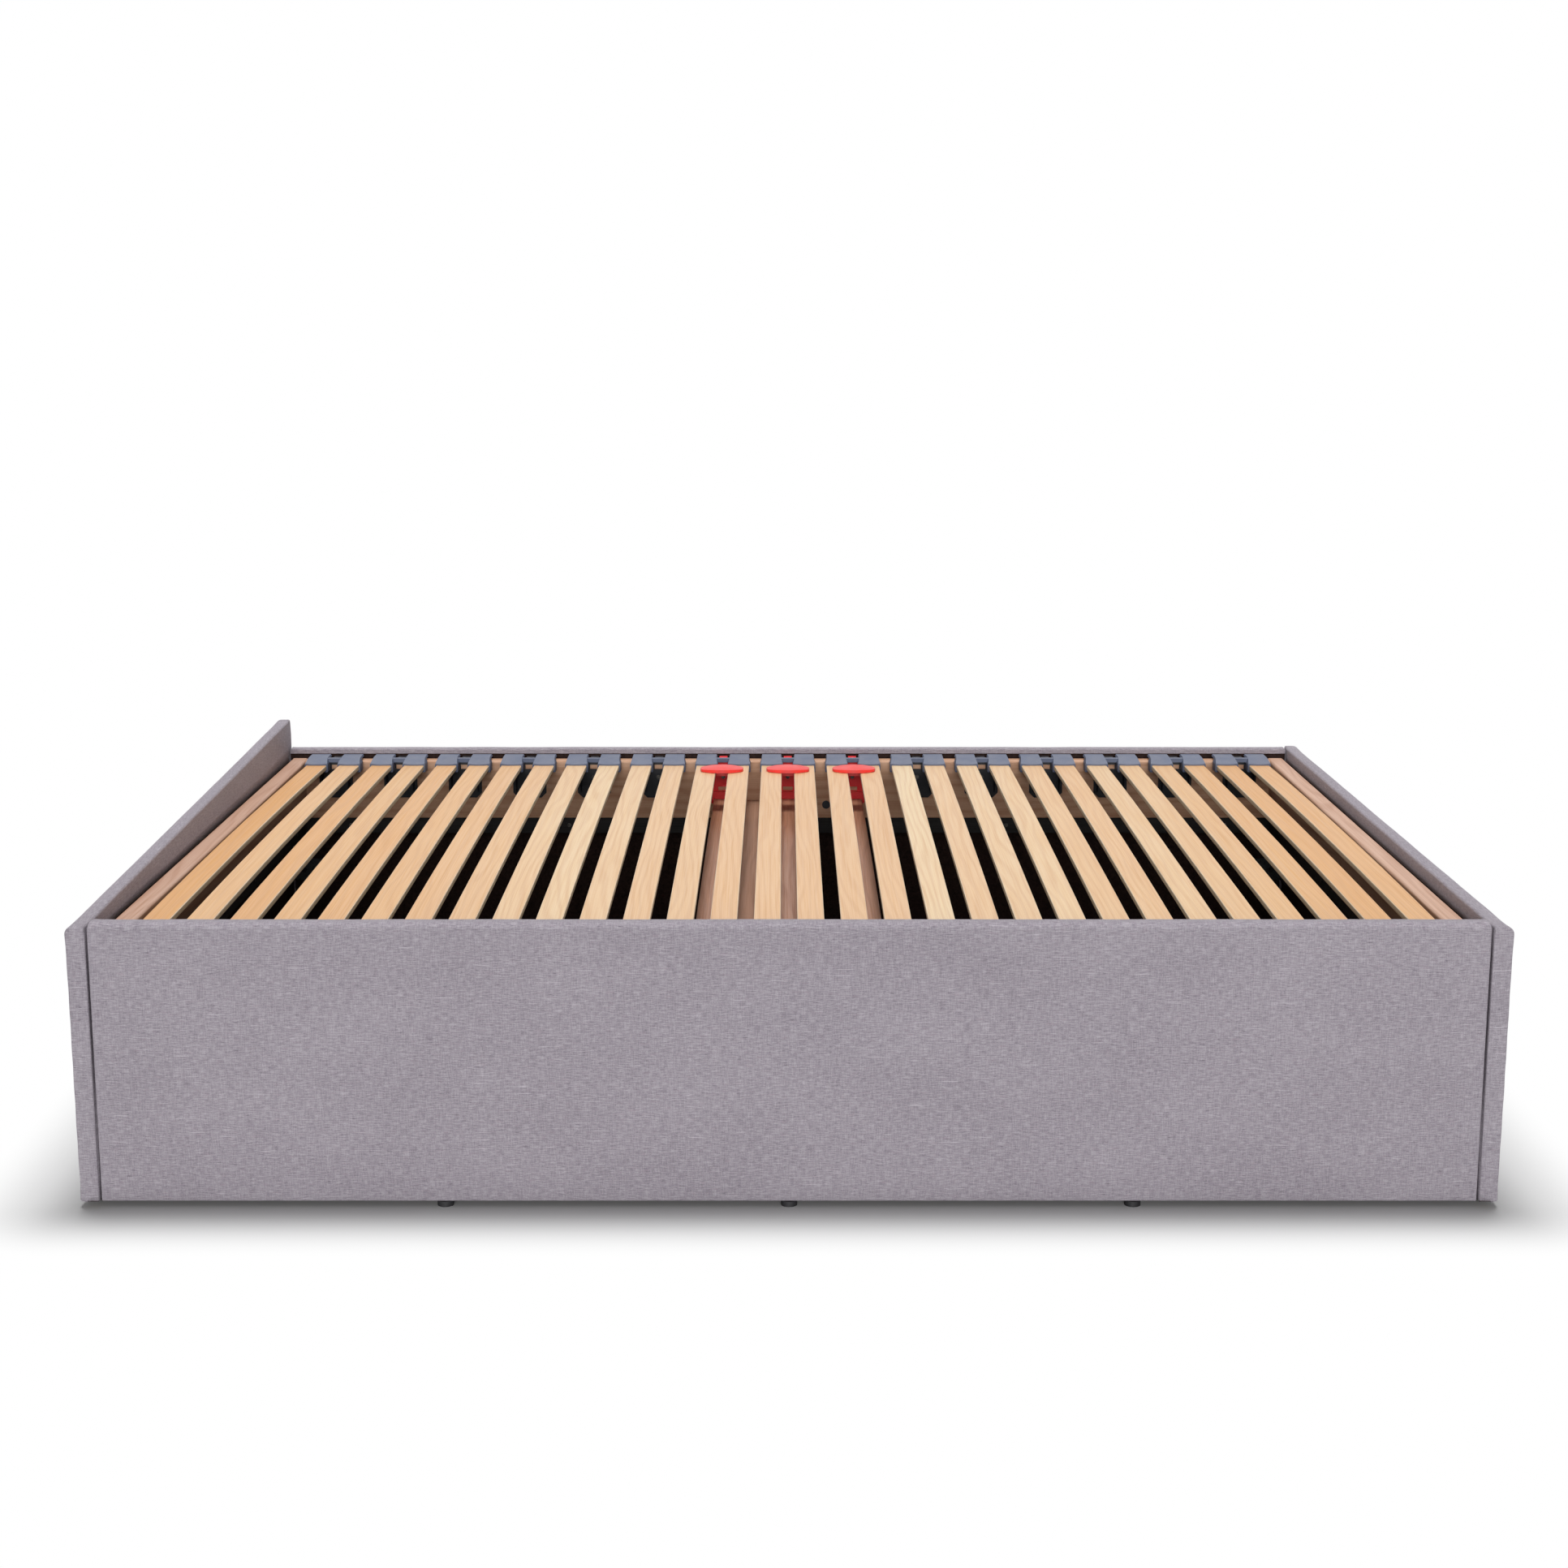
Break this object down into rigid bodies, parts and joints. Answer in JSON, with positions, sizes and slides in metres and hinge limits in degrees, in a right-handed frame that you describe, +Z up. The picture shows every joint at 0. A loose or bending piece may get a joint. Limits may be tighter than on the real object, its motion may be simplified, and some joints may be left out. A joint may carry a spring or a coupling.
{
  "type": "upholstered bed",
  "caption": "Box-shaped upholstered bed with padded panels and a sprung slatted base of paired slats in rocking twin caps.",
  "frame": {"origin": "on the floor under the middle of the bed", "axes": "+X along the bed from head to foot, +Y across it from the side first seen to the far side, +Z up"},
  "size_m": [2.07, 1.47, 0.477],
  "materials": {
    "woven_cover": "melange woven upholstery fabric",
    "panel_board": "particle board with black faces",
    "foam": "soft foam sheet",
    "batten_wood": "black-stained pine",
    "steel": "zinc plated",
    "dark_steel": "blackened",
    "screw_steel": "zinc plated",
    "glide_plastic": "matt",
    "lining": "black non-woven",
    "rail_wood": "laminated beech",
    "brace_wood": "laminated beech",
    "slat_wood": "laminated beech, lacquered",
    "low_slat_wood": "laminated beech",
    "cap_rubber": "satin elastomer",
    "holder_black": "matt",
    "holder_red": "satin",
    "slider_red": "satin"
  },
  "bodies": {
    "bed_frame": {"front_rail_board": "panel_board", "front_rail_foam": "foam", "front_rail_cover": "woven_cover", "rear_rail_board": "panel_board", "rear_rail_foam": "foam", "rear_rail_cover": "woven_cover", "head_panel_board": "panel_board", "head_panel_foam": "foam", "head_panel_cover": "woven_cover", "foot_panel_board": "panel_board", "foot_panel_foam": "foam", "foot_panel_cover": "woven_cover", "ledge_battens": "batten_wood", "corner_brackets": "steel", "bolts": "dark_steel", "wood_screws": "screw_steel", "glides": "glide_plastic", "bottom_lining": "lining", "base_side_rails": "rail_wood", "base_end_rails": "rail_wood", "cross_brace": "brace_wood", "slat_holders": "holder_black", "adjuster_holders": "holder_red", "reinforcement_slats": "low_slat_wood"},
    "pair_01": {"slat_pair_01": "slat_wood", "twin_caps_01": "cap_rubber"},
    "pair_02": {"slat_pair_02": "slat_wood", "twin_caps_02": "cap_rubber"},
    "pair_03": {"slat_pair_03": "slat_wood", "twin_caps_03": "cap_rubber"},
    "pair_04": {"slat_pair_04": "slat_wood", "twin_caps_04": "cap_rubber"},
    "pair_05": {"slat_pair_05": "slat_wood", "twin_caps_05": "cap_rubber"},
    "pair_06": {"slat_pair_06": "slat_wood", "twin_caps_06": "cap_rubber"},
    "pair_07": {"slat_pair_07": "slat_wood", "twin_caps_07": "cap_rubber"},
    "pair_08": {"slat_pair_08": "slat_wood", "twin_caps_08": "cap_rubber"},
    "pair_09": {"slat_pair_09": "slat_wood", "twin_caps_09": "cap_rubber"},
    "pair_10": {"slat_pair_10": "slat_wood", "twin_caps_10": "cap_rubber"},
    "pair_11": {"slat_pair_11": "slat_wood", "twin_caps_11": "cap_rubber"},
    "pair_12": {"slat_pair_12": "slat_wood", "twin_caps_12": "cap_rubber"},
    "pair_13": {"slat_pair_13": "slat_wood", "twin_caps_13": "cap_rubber"},
    "pair_14": {"slat_pair_14": "slat_wood", "twin_caps_14": "cap_rubber"},
    "pair_15": {"slat_pair_15": "slat_wood", "twin_caps_15": "cap_rubber"},
    "slider_07": {"slider_07": "slider_red"},
    "slider_08": {"slider_08": "slider_red"},
    "slider_09": {"slider_09": "slider_red"}
  },
  "joints": [
    {"name": "rock_01", "type": "hinge", "parent": "bed_frame", "child": "pair_01", "pos_m": [-0.9044, 0, 0.407], "axis": [0, 1, 0], "range_deg": [-5, 5], "stiffness_Nm_per_rad": 12},
    {"name": "rock_02", "type": "hinge", "parent": "bed_frame", "child": "pair_02", "pos_m": [-0.7752, 0, 0.407], "axis": [0, 1, 0], "range_deg": [-5, 5], "stiffness_Nm_per_rad": 12},
    {"name": "rock_03", "type": "hinge", "parent": "bed_frame", "child": "pair_03", "pos_m": [-0.646, 0, 0.407], "axis": [0, 1, 0], "range_deg": [-5, 5], "stiffness_Nm_per_rad": 12},
    {"name": "rock_04", "type": "hinge", "parent": "bed_frame", "child": "pair_04", "pos_m": [-0.5168, 0, 0.407], "axis": [0, 1, 0], "range_deg": [-5, 5], "stiffness_Nm_per_rad": 12},
    {"name": "rock_05", "type": "hinge", "parent": "bed_frame", "child": "pair_05", "pos_m": [-0.3876, 0, 0.407], "axis": [0, 1, 0], "range_deg": [-5, 5], "stiffness_Nm_per_rad": 12},
    {"name": "rock_06", "type": "hinge", "parent": "bed_frame", "child": "pair_06", "pos_m": [-0.2584, 0, 0.407], "axis": [0, 1, 0], "range_deg": [-5, 5], "stiffness_Nm_per_rad": 12},
    {"name": "rock_07", "type": "hinge", "parent": "bed_frame", "child": "pair_07", "pos_m": [-0.1292, 0, 0.407], "axis": [0, 1, 0], "range_deg": [-5, 5], "stiffness_Nm_per_rad": 12},
    {"name": "rock_08", "type": "hinge", "parent": "bed_frame", "child": "pair_08", "pos_m": [0, 0, 0.407], "axis": [0, 1, 0], "range_deg": [-5, 5], "stiffness_Nm_per_rad": 12},
    {"name": "rock_09", "type": "hinge", "parent": "bed_frame", "child": "pair_09", "pos_m": [0.1292, 0, 0.407], "axis": [0, 1, 0], "range_deg": [-5, 5], "stiffness_Nm_per_rad": 12},
    {"name": "rock_10", "type": "hinge", "parent": "bed_frame", "child": "pair_10", "pos_m": [0.2584, 0, 0.407], "axis": [0, 1, 0], "range_deg": [-5, 5], "stiffness_Nm_per_rad": 12},
    {"name": "rock_11", "type": "hinge", "parent": "bed_frame", "child": "pair_11", "pos_m": [0.3876, 0, 0.407], "axis": [0, 1, 0], "range_deg": [-5, 5], "stiffness_Nm_per_rad": 12},
    {"name": "rock_12", "type": "hinge", "parent": "bed_frame", "child": "pair_12", "pos_m": [0.5168, 0, 0.407], "axis": [0, 1, 0], "range_deg": [-5, 5], "stiffness_Nm_per_rad": 12},
    {"name": "rock_13", "type": "hinge", "parent": "bed_frame", "child": "pair_13", "pos_m": [0.646, 0, 0.407], "axis": [0, 1, 0], "range_deg": [-5, 5], "stiffness_Nm_per_rad": 12},
    {"name": "rock_14", "type": "hinge", "parent": "bed_frame", "child": "pair_14", "pos_m": [0.7752, 0, 0.407], "axis": [0, 1, 0], "range_deg": [-5, 5], "stiffness_Nm_per_rad": 12},
    {"name": "rock_15", "type": "hinge", "parent": "bed_frame", "child": "pair_15", "pos_m": [0.9044, 0, 0.407], "axis": [0, 1, 0], "range_deg": [-5, 5], "stiffness_Nm_per_rad": 12},
    {"name": "slide_07", "type": "slide", "parent": "pair_07", "child": "slider_07", "axis": [0, -0.9999, 0.0116], "range_m": [-0.025, 0.325]},
    {"name": "slide_08", "type": "slide", "parent": "pair_08", "child": "slider_08", "axis": [0, -0.9999, 0.0116], "range_m": [-0.025, 0.325]},
    {"name": "slide_09", "type": "slide", "parent": "pair_09", "child": "slider_09", "axis": [0, -0.9999, 0.0116], "range_m": [-0.025, 0.325]}
  ]
}
